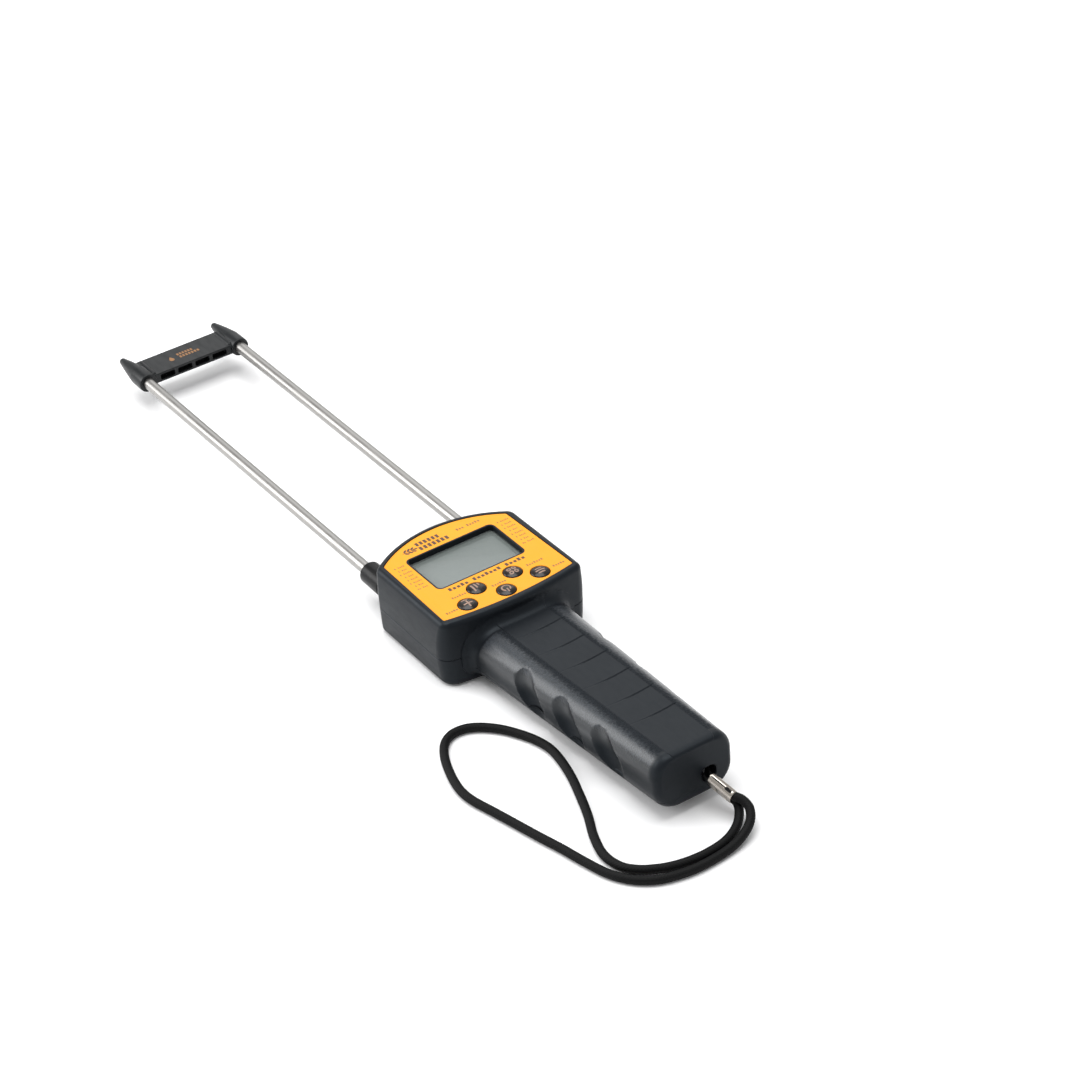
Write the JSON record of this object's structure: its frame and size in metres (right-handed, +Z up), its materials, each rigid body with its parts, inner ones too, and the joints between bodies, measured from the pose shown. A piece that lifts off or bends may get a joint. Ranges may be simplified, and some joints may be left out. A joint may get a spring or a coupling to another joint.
{
  "type": "grain moisture meter",
  "caption": "Hand-held grain moisture meter: an arched display head with push buttons, a moulded grip with a wrist strap, and two parallel probe rods joined by a pointed bridge.",
  "frame": {"origin": "centre of the bottom of the box round the meter without its strap; the meter lies on its back with the display up", "axes": "+Y along the probe rods towards their points, +Z up out of the display, +X to the right seen from above with the grip nearest"},
  "size_m": [0.116, 0.4988, 0.0362],
  "materials": {
    "casing_plastic": "satin moulded ABS, finely textured",
    "faceplate_yellow": "semi-gloss printed overlay",
    "clear_window": "clear acrylic",
    "lcd_panel": "grey-green liquid crystal panel",
    "black_plastic": "moulded black plastic",
    "connector_rubber": "striped conductive silicone rubber",
    "board_green": "solder-masked glass-epoxy board",
    "chip_black": "epoxy chip bodies",
    "button_gloss": "polished black domes",
    "stainless_rod": "satin-drawn stainless steel",
    "block_nylon": "natural nylon",
    "screw_steel": "zinc-plated steel",
    "screw_black": "black-oxide steel",
    "lug_brass": "tinned brass",
    "wire_white": "PVC insulation",
    "wire_red": "PVC insulation",
    "wire_black": "PVC insulation",
    "cell_sleeve": "printed metal foil sleeve",
    "label_silver": "blank silver polyester label",
    "tether_cord": "thin braided cord",
    "crimp_nickel": "nickel-plated steel",
    "strap_braid": "round braided nylon cord"
  },
  "bodies": {
    "casing": {"front_shell": "casing_plastic", "rear_shell": "casing_plastic", "faceplate": "faceplate_yellow", "lcd_window": "clear_window", "lcd_glass": "lcd_panel", "lcd_holder": "black_plastic", "lcd_connector_strips": "connector_rubber", "main_board": "board_green", "board_components": "chip_black", "tact_switches": "chip_black", "buzzer": "chip_black", "probe_rod_left": "stainless_rod", "probe_rod_right": "stainless_rod", "rod_collar_left": "black_plastic", "rod_collar_right": "black_plastic", "rod_block": "block_nylon", "rod_block_screws": "screw_steel", "rod_lug_left": "lug_brass", "rod_lug_right": "lug_brass", "probe_wire_left": "wire_white", "probe_wire_right": "wire_white", "tip_bridge": "black_plastic", "battery_holder": "black_plastic", "battery_1": "cell_sleeve", "battery_2": "cell_sleeve", "battery_3": "cell_sleeve", "battery_4": "cell_sleeve", "battery_springs": "screw_steel", "battery_contacts": "screw_steel", "battery_wire_red": "wire_red", "battery_wire_black": "wire_black", "case_screws": "screw_black", "board_screws": "screw_steel", "rear_label": "label_silver", "strap_pin": "screw_steel", "strap_tether": "tether_cord", "strap_crimp": "crimp_nickel", "strap_cord": "strap_braid"},
    "limit_button": {"button_limit": "button_gloss"},
    "power_button": {"button_power": "button_gloss"},
    "auto_button": {"button_auto": "button_gloss"},
    "adjust_button": {"button_adjust": "button_gloss"},
    "species_button": {"button_species": "button_gloss"},
    "battery_cover": {"battery_door": "casing_plastic"}
  },
  "joints": [
    {"name": "limit_press", "type": "slide", "parent": "casing", "child": "limit_button", "axis": [0, 0, -1], "range_m": [0, 0.0008], "stiffness_N_per_m": 300, "springref_m": -0.001},
    {"name": "power_press", "type": "slide", "parent": "casing", "child": "power_button", "axis": [0, 0, -1], "range_m": [0, 0.0008], "stiffness_N_per_m": 300, "springref_m": -0.001},
    {"name": "auto_press", "type": "slide", "parent": "casing", "child": "auto_button", "axis": [0, 0, -1], "range_m": [0, 0.0008], "stiffness_N_per_m": 300, "springref_m": -0.001},
    {"name": "adjust_press", "type": "slide", "parent": "casing", "child": "adjust_button", "axis": [0, 0, -1], "range_m": [0, 0.0008], "stiffness_N_per_m": 300, "springref_m": -0.001},
    {"name": "species_press", "type": "slide", "parent": "casing", "child": "species_button", "axis": [0, 0, -1], "range_m": [0, 0.0008], "stiffness_N_per_m": 300, "springref_m": -0.001},
    {"name": "battery_cover_tilt", "type": "hinge", "parent": "casing", "child": "battery_cover", "pos_m": [0, -0.109, 0.0008], "axis": [1, 0, 0], "range_deg": [0, 70]}
  ]
}
